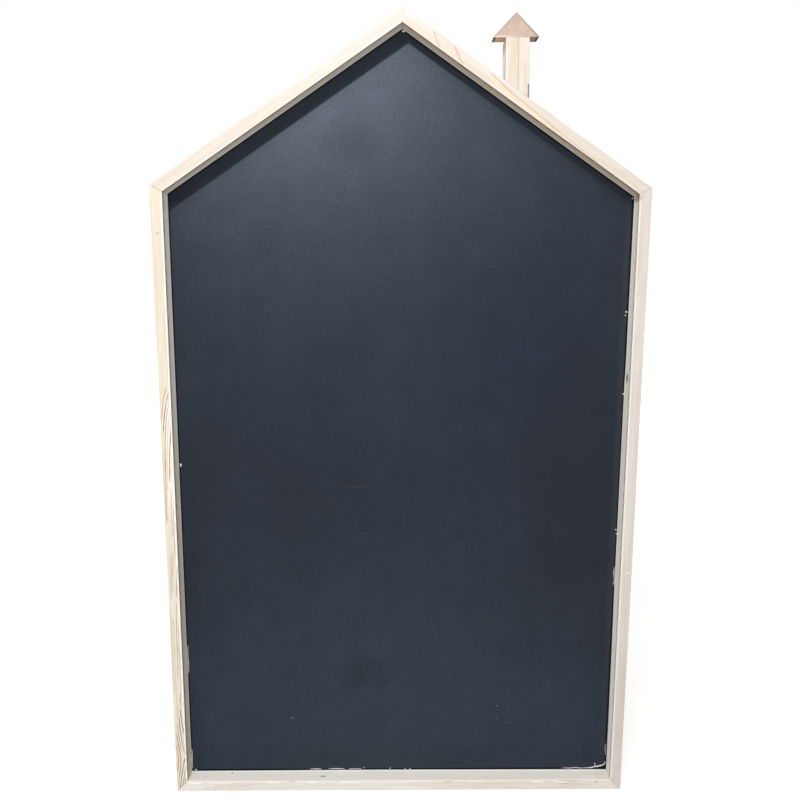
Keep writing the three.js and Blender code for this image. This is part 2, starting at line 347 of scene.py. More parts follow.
def new_material(name):
    material = bpy.data.materials.new(name)
    n = empty_tree(material)
    shader = n.add("BsdfPrincipled")
    n.feed(n.add("OutputMaterial").inputs["Surface"], shader.outputs[0])
    return material, n, shader


# Places on a stick, in metres: depth is measured back from its face, and inset in from its outer edge
CURVE_TOP = 0.03
PALER_FROM = 0.0085
PALER_TO = 0.0135
PALER_WAVER = 0.008
STREAK_DEPTH = 0.0030
ARRIS_DEPTH = 0.0016
ARRIS_WIDTH = 0.0022
FRONT_LINE_DEPTH = 0.0070
STRIP_HEIGHT = 0.0040


def pine(name, corner, angle, front, inner, pith, ring_width, wander, seed, shaded_seam=None, depth_of_grain=0.5,
         face_width=BATTEN, two_tone=1.0, front_line=0.0, arris=0.7, back_edge=0.9, light_and_tone_along=None, knots=(),
         streaks=(), ring_tint=(0.74, 0.60, 0.44)):
    """Planed pine whose grain runs along one stick, measured from that stick's own corner.

    front and inner are the colours of the face and of the side that looks into the recess; inner also holds
    painted light and shade for that side.
    shaded_seam says how deep the dark seam of the panel lies along the stick, a line of painted shade in the
    gap, and back_edge how strong the pale strip in front of it is. light_and_tone_along is a slow change
    along the stick, painted light and shade with some of the wood's own tone: start, end and the two
    colours' tints.
    A knot has its centre, stretch, size, reach, lift, colour and strength.
    """
    material, n, shader = new_material("pine_" + name)
    coordinates = n.add("TexCoord").outputs["Object"]
    place = n.add("Mapping", {"Vector": coordinates, "Location": corner, "Rotation": (0, -angle, 0)},
                  vector_type="TEXTURE").outputs[0]
    along, depth, inset = n.split(place)
    push = 0.0
    cores = []
    for centre, stretch, size, reach, lift, tint, amount in knots:
        knot = n.group(KNOT, Place=place, Centre=centre, Stretch=stretch, Size=size, Reach=reach, Lift=lift)
        push = n.math("ADD", push, knot["Push"])
        cores.append((knot["Core"], amount, tint))
    wood = n.group(WOOD, Place=place, Pith=pith, Ring_width=ring_width, Wander=wander, Push=push, Seed=seed)

    # The side of the stick that looks into the recess, whose colour holds painted light and shade for that
    # side:
    # browner by the front, paler by the panel
    turned = n.ramp(inset, face_width - 0.0005, face_width - 0.0002)
    waver = n.math("SUBTRACT", n.noise(place, (22.0, 0.0, 0.0), 3.0), 0.5)
    paler = n.ramp(n.math("ADD", depth, n.math("MULTIPLY", waver, PALER_WAVER)), PALER_FROM, PALER_TO)
    browner = tuple(a * (1 - two_tone * b) for a, b in zip(inner, (0.10, 0.15, 0.21)))
    colour = n.mix(turned, (*front, 1), n.mix(paler, (*browner, 1), (*inner, 1)))

    plainer = n.ramp(turned, 0.0, 1.0, 1.0, 0.45)
    strength = n.math("MULTIPLY", wood["Late wood"], n.ramp(wood["Tone"], 0.3, 0.65, 0.35, 1.0))
    strength = n.math("MULTIPLY", strength, n.math("MULTIPLY", plainer, depth_of_grain))
    colour = n.mix(strength, colour, (*ring_tint, 1), "MULTIPLY")
    for effect, low, high, amount, tint in (
        ("Tone", 0.35, 0.65, 0.55, (0.93, 0.89, 0.83, 1)),
        ("Shade", 0.35, 0.65, 0.60, (0.94, 0.89, 0.82, 1)),
        ("Fibre", 0.0, 1.0, 0.14, (0.80, 0.70, 0.58, 1)),
        ("Pore", 0.0, 1.0, 0.30, (0.62, 0.48, 0.34, 1)),
    ):
        share = n.math("MULTIPLY", plainer, n.ramp(wood[effect], low, high, 0.0, amount))
        colour = n.mix(share, colour, tint, "MULTIPLY")
    # Painted light and shade along the stick, with some of the wood's own tone: a slow change of both
    # colours
    if light_and_tone_along:
        start, end, front_tint, inner_tint = light_and_tone_along
        tint = n.mix(turned, (*front_tint, 1), (*inner_tint, 1))
        colour = n.mix(n.ramp(along, start, end), colour, tint, "MULTIPLY")
    near_face = n.ramp(depth, 0.0004, STREAK_DEPTH, 1.0, 0.0)
    on_face = n.math("MULTIPLY", n.math("SUBTRACT", 1.0, turned), near_face)
    for points, width, soft, tint, amount in streaks:
        line = n.group(STREAK, Place=place, From=points[0][0], To=points[-1][0], Width=width, Soft_ends=soft,
                       Centre=n.curve(along, points, CURVE_TOP))["Line"]
        if points[0][1] < face_width:
            line = n.math("MULTIPLY", line, on_face)
        colour = n.stain(colour, line, amount, tint)
    for core, amount, tint in cores:
        colour = n.stain(colour, core, amount, tint)

    # Painted highlight: a pale line where the arris was eased and catches the light, with a brown line
    # behind it
    edge = n.math("MULTIPLY", n.ramp(inset, face_width - ARRIS_WIDTH, face_width - 0.0014),
                  n.ramp(depth, 0.0010, ARRIS_DEPTH, 1.0, 0.0))
    broken = n.ramp(n.noise(place, (70.0, 0.0, 0.0), 3.0), 0.35, 0.6, 0.35, 1.0)
    colour = n.stain(colour, n.math("MULTIPLY", edge, broken), arris, (0.97, 0.95, 0.90))
    behind = n.math("MULTIPLY", n.ramp(depth, 0.0012, 0.0022),
                    n.ramp(depth, 0.0045, FRONT_LINE_DEPTH, 1.0, 0.0))
    behind = n.math("MULTIPLY", n.math("MULTIPLY", behind, turned), n.math("MULTIPLY", broken, front_line))
    colour = n.mix(behind, colour, (0.36, 0.27, 0.20, 1), "MULTIPLY")

    # Pale strip, and the dark seam where the stick meets the panel, which is painted shade of the gap
    if shaded_seam:
        from_seam = n.math("SUBTRACT", depth, n.curve(along, shaded_seam, CURVE_TOP))
        strip = n.math("MULTIPLY", turned, n.ramp(from_seam, -STRIP_HEIGHT, -0.0030))
        colour = n.stain(colour, strip, back_edge, (0.99, 0.985, 0.965))
        painted_seam_shade = n.math("MULTIPLY", turned, n.ramp(from_seam, -0.0002, 0.0004, 0.0, 0.95))
        colour = n.mix(painted_seam_shade, colour, (0.016, 0.016, 0.018, 1))
    n.feed(shader.inputs["Base Color"], colour)
    n.feed(shader.inputs["Roughness"], n.ramp(wood["Fibre"], 0.0, 1.0, 0.56, 0.72))
    shader.inputs["Specular IOR Level"].default_value = 0.3
    height = n.math("ADD", n.math("MULTIPLY", wood["Fibre"], 0.25),
                    n.math("MULTIPLY", wood["Late wood"], 0.5))
    bump = n.add("Bump", {"Strength": 0.25, "Distance": 0.0002, "Height": height})
    n.feed(shader.inputs["Normal"], bump.outputs[0])
    return material


def cap_wood():
    """Browner sawn block: end grain looks out of the face, side grain out of the slopes and the foot."""
    material, n, shader = new_material("cap_end_grain")
    coordinates = n.add("TexCoord").outputs["Object"]
    corner = (CAP_LOW.x, CAP_LOW.y, CAP_LOW.z)
    place = n.add("Mapping", {"Vector": coordinates, "Location": corner, "Rotation": (0, 0, math.pi / 2)},
                  vector_type="TEXTURE").outputs[0]
    wood = n.group(WOOD, Place=place, Pith=(0, -0.11, -0.03), Ring_width=0.0026, Wander=0.0008, Push=0.0,
                   Seed=7.3)
    speckle = n.noise(coordinates, (900.0, 60.0, 900.0), 3.0, 0.7)
    patch = n.noise(coordinates, (70.0, 10.0, 70.0), 2.0)
    colour = n.stain((0.515, 0.395, 0.318, 1), wood["Late wood"], 0.35, (0.40, 0.28, 0.21))
    colour = n.mix(n.ramp(speckle, 0.4, 0.7, 0.0, 0.60), colour, (0.35, 0.24, 0.19, 1))
    colour = n.mix(n.ramp(patch, 0.35, 0.65, 0.0, 0.55), colour, (0.58, 0.455, 0.36, 1))
    upright = n.noise(coordinates, (170.0, 10.0, 26.0), 2.0)
    colour = n.mix(n.ramp(upright, 0.45, 0.65, 0.0, 0.40), colour, (0.48, 0.355, 0.305, 1))
    across, back, up = n.split(coordinates)
    behind_face = n.ramp(back, FRONT + 0.0002, FRONT + 0.0012)
    to_right = n.ramp(across, POST_LOW.x, POST_HIGH.x)
    # Slopes and foot in side grain, darker towards the right: painted shade, as the light comes from the
    # left
    side = n.mix(to_right, (0.61, 0.40, 0.275, 1), (0.37, 0.19, 0.135, 1))
    side = n.stain(side, wood["Fibre"], 0.5, (0.70, 0.60, 0.52), "MULTIPLY")
    side = n.mix(n.ramp(speckle, 0.45, 0.65, 0.0, 0.35), side, (0.60, 0.41, 0.33, 1))
    colour = n.mix(behind_face, colour, side)
    # The lower front arris: painted highlight along its left half, painted shadow under its right half
    height_over_foot = n.math("SUBTRACT", up, CAP_LOW.z)
    lower_arris = n.math("MULTIPLY", n.ramp(height_over_foot, 0.0010, 0.0024, 1.0, 0.0),
                         n.math("SUBTRACT", 1.0, behind_face))
    arris_light_and_shade = n.mix(to_right, (0.80, 0.66, 0.54, 1), (0.50, 0.34, 0.27, 1))
    colour = n.mix(n.math("MULTIPLY", lower_arris, 0.7), colour, arris_light_and_shade)
    half = (CAP_HIGH.x - CAP_LOW.x) / 2
    middle = (CAP_HIGH.x + CAP_LOW.x) / 2
    slope_height = n.math("MULTIPLY", height_over_foot, half / (CAP_HIGH.z - CAP_LOW.z))
    from_middle = n.math("ABSOLUTE", n.math("SUBTRACT", across, middle))
    from_slope = n.math("SUBTRACT", n.math("SUBTRACT", half, slope_height), from_middle)
    # Darker along the sloping edges of the face, more so towards the right
    dark_slope_edges = n.math("MULTIPLY", n.ramp(from_slope, 0.0008, 0.0026, 1.0, 0.0),
                   n.ramp(to_right, 0.0, 1.0, 0.35, 0.75))
    colour = n.mix(dark_slope_edges, colour, (0.27, 0.20, 0.18, 1))
    tip = n.math("MULTIPLY", n.ramp(n.math("SUBTRACT", half, from_middle), 0.0022, 0.0042, 1.0, 0.0),
                 behind_face)
    colour = n.stain(colour, tip, n.ramp(to_right, 0.0, 1.0, 0.75, 0.90), (0.07, 0.05, 0.05))
    n.feed(shader.inputs["Base Color"], colour)
    n.feed(shader.inputs["Roughness"], n.ramp(speckle, 0.3, 0.7, 0.75, 0.9))
    shader.inputs["Specular IOR Level"].default_value = 0.2
    bump = n.add("Bump", {"Strength": 0.35, "Distance": 0.0004, "Height": speckle})
    n.feed(shader.inputs["Normal"], bump.outputs[0])
    return material


# Painted sheen in the gable: the glossy highlight of the key lamp, laid into the paint's colour as a pale
# film
SHEEN_CENTRE = (-0.148, 0.0, 1.030)
SHEEN_WIDTH = 0.240
SHEEN_COLOUR = (0.173, 0.211, 0.260, 1)


def chalk_paint():
    """Satin chalkboard paint with cloudy wiping marks, a painted sheen and painted light, scratches and
    specks; raw fibreboard behind.
    """
    material, n, shader = new_material("chalkboard_paint")
    place = n.add("TexCoord").outputs["Object"]
    edge = n.group(FROM_EDGE, Place=place)

    # Clouds of dust and bare paint that wiping leaves; the broad lighter clouds low down, in the middle and
    # in the gable also hold painted light
    dust_and_light = (0.0278, 0.0384, 0.0532)
    bluish = (0.0097, 0.0171, 0.0332)
    blue_dust_and_light = (0.0247, 0.0369, 0.0596)
    dark = (0.0105, 0.0156, 0.0251)
    drift = n.noise(place, (9.0, 0.0, 7.0), 4.0, 0.6)
    colour = n.mix(n.ramp(drift, 0.35, 0.65), (0.0113, 0.0167, 0.0265, 1), (0.0155, 0.0220, 0.0336, 1))
    for centre, spread, ragged, softness, tint, amount in (
        ((-0.020, 0, 0.080), (0.420, 1, 0.380), 0.20, 1.00, dust_and_light, 0.95),
        ((-0.260, 0, 0.090), (0.160, 1, 0.200), 0.30, 0.90, blue_dust_and_light, 0.60),
        ((0.200, 0, 0.070), (0.200, 1, 0.170), 0.30, 0.90, blue_dust_and_light, 0.50),
        ((-0.160, 0, 0.470), (0.140, 1, 0.170), 0.50, 0.80, dark, 0.35),
        ((0.000, 0, 0.600), (0.220, 1, 0.330), 0.30, 0.90, dust_and_light, 0.17),
        ((0.000, 0, 0.930), (0.420, 1, 0.260), 0.20, 0.80, dust_and_light, 0.40),
        ((0.162, 0, 0.600), (0.095, 1, 0.150), 0.70, 0.60, bluish, 0.80),
        ((0.225, 0, 0.440), (0.078, 1, 0.190), 0.45, 0.22, dark, 0.80),
        ((-0.045, 0, 0.150), (0.050, 1, 0.030), 0.70, 0.60, dark, 0.35),
        ((-0.235, 0, 0.590), (0.034, 1, 0.030), 0.60, 0.80, dark, 0.45),
        ((-0.096, 0, 0.584), (0.034, 1, 0.030), 0.60, 0.80, dark, 0.45),
    ):
        patch = n.group(CLOUD, Place=place, Centre=centre, Spread=spread, Ragged=ragged,
                        Softness=softness)["Patch"]
        colour = n.stain(colour, patch, amount, tint)

    # Painted sheen in the gable; it stops short of the roof rails along the edge of their shadow on the
    # panel
    from_centre = n.vector("SUBTRACT", place, SHEEN_CENTRE)
    reach = n.vector("LENGTH", n.vector("MULTIPLY", from_centre, (1.0, 0.0, 1.0)))
    spread = n.math("ADD", SHEEN_WIDTH ** 2, n.math("POWER", reach, 2.0))
    painted_sheen = n.math("POWER", n.math("DIVIDE", SHEEN_WIDTH ** 2, spread), 2.0)
    wisps = n.noise(place, (26.0, 0.0, 20.0), 5.0, 0.65, Distortion=0.8)
    colour = n.mix(n.ramp(wisps, 0.38, 0.62, 0.0, 0.8), colour, (0.84, 0.86, 0.88, 1), "MULTIPLY")
    out_of_roof_shadow = n.math("MULTIPLY", n.ramp(edge["From left roof"], 0.0162, 0.0178),
                   n.ramp(edge["From right roof"], 0.0078, 0.0096))
    cloudy = n.noise(place, (22.0, 0.0, 26.0), 4.0, 0.6)
    painted_sheen = n.math("MULTIPLY", n.math("MULTIPLY", painted_sheen, out_of_roof_shadow), n.ramp(cloudy, 0.3, 0.7, 0.88, 1.08))
    # A thumbed patch where the painted sheen is weaker
    thumbed = n.group(CLOUD, Place=place, Centre=(-0.062, 0, 0.838), Spread=(0.060, 1, 0.046), Ragged=0.5,
                      Softness=0.9)["Patch"]
    painted_sheen = n.math("MULTIPLY", painted_sheen, n.ramp(thumbed, 0.0, 1.0, 1.0, 0.74))
    colour = n.mix(painted_sheen, colour, SHEEN_COLOUR)

    # Brush marks, roller mottle, scratches and specks; painted light along the frame, lifting the shade of
    # the recess; and the dark seam, painted shade of the gap at the frame
    brushed = n.noise(place, (14.0, 0.0, 500.0), 2.0, 0.6)
    colour = n.mix(n.ramp(brushed, 0.45, 0.8, 0.0, 0.07), colour, (0.06, 0.068, 0.08, 1))
    mottled = n.noise(place, (300.0, 0.0, 300.0), 3.0, 0.7)
    colour = n.mix(n.ramp(mottled, 0.35, 0.65, 0.0, 1.0), colour, (0.80, 0.82, 0.84, 1), "MULTIPLY")
    scratches = n.noise(place, (9.0, 0.0, 420.0), 2.0)
    colour = n.stain(colour, n.ramp(scratches, 0.745, 0.775), 0.25, (0.09, 0.10, 0.11))
    speck = n.group(FLECK, Place=place, Spacing=0.045, Size=0.0008, Share=0.35)["Speck"]
    colour = n.stain(colour, speck, 0.5, (0.20, 0.21, 0.22))
    for centre, spread, amount in (
        ((-0.1469, 0, 0.0869), (0.0016, 1, 0.0012), 0.60),
        ((-0.0131, 0, 0.0760), (0.0012, 1, 0.0010), 0.50),
        ((0.1331, 0, 0.1036), (0.0014, 1, 0.0012), 0.55),
        ((0.1335, 0, 0.0858), (0.0012, 1, 0.0010), 0.50),
        ((-0.0560, 0, 0.4117), (0.0230, 1, 0.0009), 0.07),
        ((-0.1661, 0, 0.8206), (0.0040, 1, 0.0008), 0.10),
        ((-0.1060, 0, 0.7773), (0.0040, 1, 0.0008), 0.12),
    ):
        mark = n.group(CLOUD, Place=place, Centre=centre, Spread=spread, Ragged=0.0, Softness=0.6)["Patch"]
        colour = n.stain(colour, mark, amount, (0.24, 0.25, 0.26))
    # Painted light: lighter paint near the frame, where the recess shades the panel
    painted_lift_by_frame = n.math("ADD", n.ramp(edge["Distance"], 0.002, 0.014, 0.22, 0.0),
                      n.ramp(edge["Distance"], 0.004, 0.036, 0.07, 0.0))
    colour = n.mix(painted_lift_by_frame, colour, (0.040, 0.052, 0.068, 1))
    right_rim = n.ramp(edge["From right"], 0.002, 0.012, 1.0, 0.0)
    colour = n.stain(colour, right_rim, 0.40, (0.044, 0.040, 0.048))
    # Painted shade: a near-black line in the gap where the panel meets the frame
    shaded_seam = n.ramp(edge["Distance"], 0.0011, 0.0020, 1.0, 0.0)
    colour = n.stain(colour, shaded_seam, 0.95, (0.002, 0.002, 0.003))

    # Raw fibreboard on the back
    behind = n.math("GREATER_THAN", n.split(place)[1], PANEL_FACE + 0.0003)
    fibres = n.noise(place, (700.0, 700.0, 700.0), 4.0, 0.7)
    raw = n.mix(n.ramp(fibres, 0.3, 0.7), (0.27, 0.165, 0.095, 1), (0.40, 0.27, 0.165, 1))
    mottle = n.noise(place, (16.0, 1.0, 16.0), 3.0)
    raw = n.mix(n.ramp(mottle, 0.3, 0.7, 0.0, 0.5), raw, (0.29, 0.175, 0.100, 1))
    bundle = n.group(FLECK, Place=place, Spacing=0.009, Size=0.0014, Share=0.45)["Speck"]
    raw = n.stain(raw, bundle, 0.45, (0.20, 0.115, 0.062))
    pressed = n.noise(place, (420.0, 1.0, 420.0), 2.0)
    raw = n.mix(n.ramp(pressed, 0.4, 0.65, 0.0, 0.35), raw, (0.44, 0.31, 0.20, 1))
    for centre, spread, amount in (
        ((-0.120, 0, 0.300), (0.110, 1, 0.200), 0.22),
        ((0.150, 0, 0.620), (0.150, 1, 0.090), 0.20),
        ((0.060, 0, 0.120), (0.190, 1, 0.060), 0.16),
    ):
        rubbed = n.group(CLOUD, Place=place, Centre=centre, Spread=spread, Ragged=0.8, Softness=0.8)["Patch"]
        raw = n.stain(raw, rubbed, amount, (0.50, 0.37, 0.26))
    rim = n.ramp(edge["Distance"], -0.004, 0.012, 0.35, 0.0)
    raw = n.mix(rim, raw, (0.20, 0.120, 0.070, 1))
    colour = n.mix(behind, colour, raw)
    n.feed(shader.inputs["Base Color"], colour)

    satin = n.ramp(drift, 0.3, 0.7, 0.49, 0.55)
    roughness = n.math("ADD", satin, n.math("MULTIPLY", behind, 0.35))
    n.feed(shader.inputs["Roughness"], roughness)
    shader.inputs["Specular IOR Level"].default_value = 0.15
    grainy = n.noise(place, (1500.0, 1500.0, 1500.0), 2.0)
    height = n.math("ADD", n.math("MULTIPLY", grainy, 0.5), n.math("MULTIPLY", brushed, 0.3))
    bump = n.add("Bump", {"Strength": 0.12, "Distance": 0.0001, "Height": height})
    n.feed(shader.inputs["Normal"], bump.outputs[0])
    return material


def bright_steel():
    material, n, shader = new_material("bright_steel")
    place = n.add("TexCoord").outputs["Object"]
    tarnish = n.noise(place, (900.0, 900.0, 900.0), 3.0)
    n.feed(shader.inputs["Base Color"],
           n.mix(n.ramp(tarnish, 0.3, 0.7), (0.50, 0.49, 0.47, 1), (0.34, 0.32, 0.30, 1)))
    n.feed(shader.inputs["Roughness"], n.ramp(tarnish, 0.3, 0.7, 0.28, 0.5))
    shader.inputs["Metallic"].default_value = 1.0
    return material


def dried_glue():
    material, n, shader = new_material("dried_glue")
    place = n.add("TexCoord").outputs["Object"]
    cloudy = n.noise(place, (800.0, 800.0, 800.0), 3.0)
    speck = n.group(FLECK, Place=place, Spacing=0.002, Size=0.0004, Share=0.4)["Speck"]
    colour = n.mix(n.ramp(cloudy, 0.3, 0.7), (0.82, 0.81, 0.78, 1), (0.66, 0.65, 0.62, 1))
    n.feed(shader.inputs["Base Color"], n.stain(colour, speck, 0.4, (0.4, 0.36, 0.3)))
    n.feed(shader.inputs["Roughness"], n.ramp(cloudy, 0.3, 0.7, 0.45, 0.65))
    bump = n.add("Bump", {"Strength": 0.3, "Distance": 0.0002, "Height": cloudy})
    n.feed(shader.inputs["Normal"], bump.outputs[0])
    return material


PEACH = (0.80, 0.60, 0.44)
BROWN_LINE = (0.52, 0.37, 0.25)
RING_LINE = (0.30, 0.195, 0.115)
DARK_LINE = (0.19, 0.12, 0.075)
TAN = (0.62, 0.49, 0.35)
BEIGE = (0.60, 0.52, 0.43)
PALE_CHIP = (0.98, 0.965, 0.93)
CREAM = (0.92, 0.87, 0.77)
GREY_LINE = (0.34, 0.29, 0.24)
KNOT_BROWN = (0.22, 0.13, 0.09)
ROUND_KNOT = (0.8, 0.8, 1.0)

# Lines of the grain. Each has its places (along the stick, in from its outer edge), its width,
# the length of its soft ends, its colour and its strength.
LEFT_STILE_GRAIN = [
    ([(0.250, 0.0100), (0.320, 0.0090), (0.410, 0.0080)], 0.0075, 0.030, CREAM, 0.60),
    ([(0.020, 0.0062), (0.060, 0.0050), (0.120, 0.0042), (0.240, 0.0036)], 0.0018, 0.030, TAN, 0.16),
    ([(0.060, 0.0022), (0.140, 0.0020), (0.230, 0.0018)], 0.0018, 0.030, TAN, 0.16),
    ([(0.150, 0.0100), (0.190, 0.0106), (0.236, 0.0098)], 0.0016, 0.020, TAN, 0.14),
    ([(0.238, 0.0100), (0.248, 0.0078), (0.260, 0.0050), (0.270, 0.0034), (0.286, 0.0020)], 0.0010, 0.008,
     RING_LINE, 0.72),
    ([(0.246, 0.0128), (0.256, 0.0100), (0.270, 0.0070), (0.285, 0.0048), (0.302, 0.0032)], 0.0011, 0.008,
     RING_LINE, 1.0),
    ([(0.262, 0.0122), (0.275, 0.0090), (0.290, 0.0070), (0.310, 0.0054), (0.330, 0.0042), (0.370, 0.0034),
      (0.420, 0.0026)], 0.0010, 0.010, RING_LINE, 0.85),
    ([(0.270, 0.0132), (0.285, 0.0105), (0.300, 0.0088), (0.320, 0.0072), (0.345, 0.0062), (0.380, 0.0056)],
     0.0009, 0.010, RING_LINE, 0.45),
    ([(0.282, 0.0136), (0.295, 0.0126), (0.310, 0.0115), (0.325, 0.0102), (0.345, 0.0092), (0.366, 0.0085)],
     0.0010, 0.008, DARK_LINE, 1.0),
    ([(0.366, 0.0099), (0.400, 0.0092), (0.440, 0.0088)], 0.0011, 0.012, RING_LINE, 0.45),
    ([(0.390, 0.0118), (0.430, 0.0112), (0.470, 0.0108)], 0.0011, 0.015, RING_LINE, 0.50),
    ([(0.455, 0.0062), (0.475, 0.0054), (0.500, 0.0040), (0.524, 0.0034)], 0.0010, 0.008, RING_LINE, 0.60),
    ([(0.450, 0.0092), (0.470, 0.0082), (0.490, 0.0066), (0.512, 0.0058)], 0.0010, 0.008, RING_LINE, 0.50),
    ([(0.470, 0.0134), (0.490, 0.0124), (0.506, 0.0112), (0.518, 0.0108)], 0.0011, 0.006, DARK_LINE, 0.65),
    ([(0.518, 0.0104), (0.550, 0.0092), (0.590, 0.0086), (0.634, 0.0080)], 0.0010, 0.012, RING_LINE, 0.72),
    ([(0.540, 0.0052), (0.580, 0.0048), (0.630, 0.0046), (0.690, 0.0052)], 0.0010, 0.012, RING_LINE, 0.45),
    ([(0.520, 0.0024), (0.580, 0.0020), (0.660, 0.0022)], 0.0010, 0.020, RING_LINE, 0.50),
    ([(0.550, 0.0118), (0.600, 0.0112), (0.662, 0.0107)], 0.0011, 0.012, RING_LINE, 0.45),
    ([(0.648, 0.0102), (0.658, 0.0095), (0.670, 0.0097)], 0.0010, 0.004, DARK_LINE, 0.60),
    ([(0.668, 0.0090), (0.686, 0.0099), (0.700, 0.0115), (0.710, 0.0134)], 0.0012, 0.006, DARK_LINE, 1.0),
    ([(0.680, 0.0064), (0.700, 0.0078), (0.715, 0.0092), (0.728, 0.0108), (0.738, 0.0130)], 0.0011, 0.008,
     RING_LINE, 1.0),
    ([(0.690, 0.0040), (0.710, 0.0056), (0.722, 0.0070), (0.736, 0.0084)], 0.0011, 0.008, RING_LINE, 0.85),
    ([(0.704, 0.0022), (0.720, 0.0040), (0.733, 0.0058), (0.745, 0.0068), (0.756, 0.0060), (0.768, 0.0042),
      (0.786, 0.0020)], 0.0011, 0.008, RING_LINE, 1.0),
    ([(0.722, 0.0014), (0.733, 0.0030), (0.744, 0.0040), (0.753, 0.0032), (0.764, 0.0014)], 0.0010, 0.006,
     RING_LINE, 1.0),
    ([(0.740, 0.0128), (0.752, 0.0104), (0.764, 0.0082), (0.776, 0.0060), (0.791, 0.0040)], 0.0012, 0.006,
     DARK_LINE, 1.0),
    ([(0.752, 0.0138), (0.764, 0.0118), (0.776, 0.0092), (0.789, 0.0070)], 0.0011, 0.005, RING_LINE, 1.0),
    ([(0.768, 0.0136), (0.778, 0.0116), (0.787, 0.0100)], 0.0012, 0.004, DARK_LINE, 0.8),
]
RIGHT_ROOF_GRAIN = [
    ([(0.105, 0.0138), (0.150, 0.0124), (0.190, 0.0104), (0.215, 0.0082), (0.238, 0.0050)], 0.0052, 0.025,
     PEACH, 0.55),
    ([(0.150, 0.0126), (0.190, 0.0108), (0.218, 0.0082)], 0.0030, 0.020, PEACH, 0.40),
    ([(0.066, 0.0133), (0.100, 0.0122), (0.140, 0.0102), (0.180, 0.0078), (0.200, 0.0066), (0.220, 0.0042),
      (0.242, 0.0012)], 0.0020, 0.012, BROWN_LINE, 0.62),
    ([(0.2985, 0.0118), (0.3055, 0.0092), (0.3110, 0.0054)], 0.0034, 0.004, PEACH, 0.35),
    ([(0.2655, 0.0130), (0.2720, 0.0108), (0.2790, 0.0064), (0.2880, 0.0020)], 0.0021, 0.002, BROWN_LINE,
     0.75),
    ([(0.2985, 0.0131), (0.3050, 0.0100), (0.3110, 0.0058), (0.3165, 0.0012)], 0.0021, 0.002, BROWN_LINE,
     0.75),
    ([(0.001, 0.0018), (0.020, 0.0024), (0.046, 0.0010)], 0.0020, 0.008, (0.58, 0.42, 0.34), 0.45),
    ([(0.060, 0.0018), (0.120, 0.0013), (0.180, 0.0013)], 0.0022, 0.020, TAN, 0.22),
]
BOTTOM_RAIL_GRAIN = [
    ([(0.028, 0.0020), (0.042, 0.0044), (0.060, 0.0074), (0.080, 0.0098)], 0.0018, 0.010, BEIGE, 0.55),
    ([(0.044, 0.0016), (0.060, 0.0040), (0.080, 0.0064), (0.105, 0.0080)], 0.0018, 0.010, BEIGE, 0.55),
    ([(0.064, 0.0014), (0.085, 0.0034), (0.110, 0.0046), (0.150, 0.0052)], 0.0018, 0.015, BEIGE, 0.45),
    ([(0.140, 0.0062), (0.200, 0.0073), (0.260, 0.0066)], 0.0016, 0.020, BEIGE, 0.34),
    ([(0.330, 0.0030), (0.410, 0.0036), (0.480, 0.0046)], 0.0018, 0.020, BEIGE, 0.34),
    ([(0.500, 0.0050), (0.530, 0.0062), (0.570, 0.0066)], 0.0020, 0.015, BEIGE, 0.25),
    ([(0.017, 0.0098), (0.026, 0.0116), (0.036, 0.0120)], 0.0013, 0.0072, PALE_CHIP, 0.85),
    ([(0.040, 0.0124), (0.062, 0.0121), (0.081, 0.0120)], 0.0013, 0.0156, PALE_CHIP, 0.85),
    ([(0.117, 0.0127), (0.129, 0.0123), (0.141, 0.0128)], 0.0013, 0.0091, PALE_CHIP, 0.85),
    ([(0.171, 0.0128), (0.180, 0.0122), (0.191, 0.0128)], 0.0013, 0.0076, PALE_CHIP, 0.70),
    ([(0.202, 0.0127), (0.216, 0.0121), (0.235, 0.0124), (0.256, 0.0122)], 0.0013, 0.0205, PALE_CHIP, 0.90),
    ([(0.270, 0.0126), (0.290, 0.0124), (0.325, 0.0126)], 0.0013, 0.0209, PALE_CHIP, 0.50),
    ([(0.380, 0.0127), (0.400, 0.0125), (0.430, 0.0127)], 0.0013, 0.0190, PALE_CHIP, 0.40),
    ([(0.474, 0.0126), (0.483, 0.0118), (0.497, 0.0112)], 0.0013, 0.0087, PALE_CHIP, 0.80),
    ([(0.506, 0.0126), (0.516, 0.0116), (0.532, 0.0108)], 0.0013, 0.0099, PALE_CHIP, 0.90),
    ([(0.538, 0.0124), (0.550, 0.0122), (0.563, 0.0124)], 0.0013, 0.0095, PALE_CHIP, 0.60),
    ([(0.148, 0.0137), (0.155, 0.0136), (0.162, 0.0137)], 0.0013, 0.0053, GREY_LINE, 0.60),
    ([(0.206, 0.0135), (0.214, 0.0132), (0.222, 0.0134)], 0.0013, 0.0061, GREY_LINE, 0.60),
    ([(0.358, 0.0129), (0.366, 0.0127), (0.374, 0.0129)], 0.0013, 0.0061, GREY_LINE, 0.55),
    ([(0.500, 0.0132), (0.530, 0.0131), (0.564, 0.0127)], 0.0013, 0.0243, GREY_LINE, 0.70),
    ([(0.518, 0.0097), (0.525, 0.0091), (0.533, 0.0088)], 0.0013, 0.0057, GREY_LINE, 0.65),
    ([(0.222, 0.0034), (0.250, 0.0022), (0.296, 0.0016)], 0.0014, 0.015, BEIGE, 0.50),
    ([(0.300, 0.0060), (0.350, 0.0056), (0.420, 0.0064)], 0.0012, 0.020, BEIGE, 0.36),
    ([(0.090, 0.0094), (0.110, 0.0100), (0.136, 0.0102)], 0.0012, 0.010, BEIGE, 0.36),
    ([(0.430, 0.0026), (0.480, 0.0022), (0.545, 0.0030)], 0.0012, 0.020, BEIGE, 0.36),
    ([(0.390, 0.0098), (0.440, 0.0092), (0.500, 0.0086)], 0.0012, 0.020, BEIGE, 0.36),
]

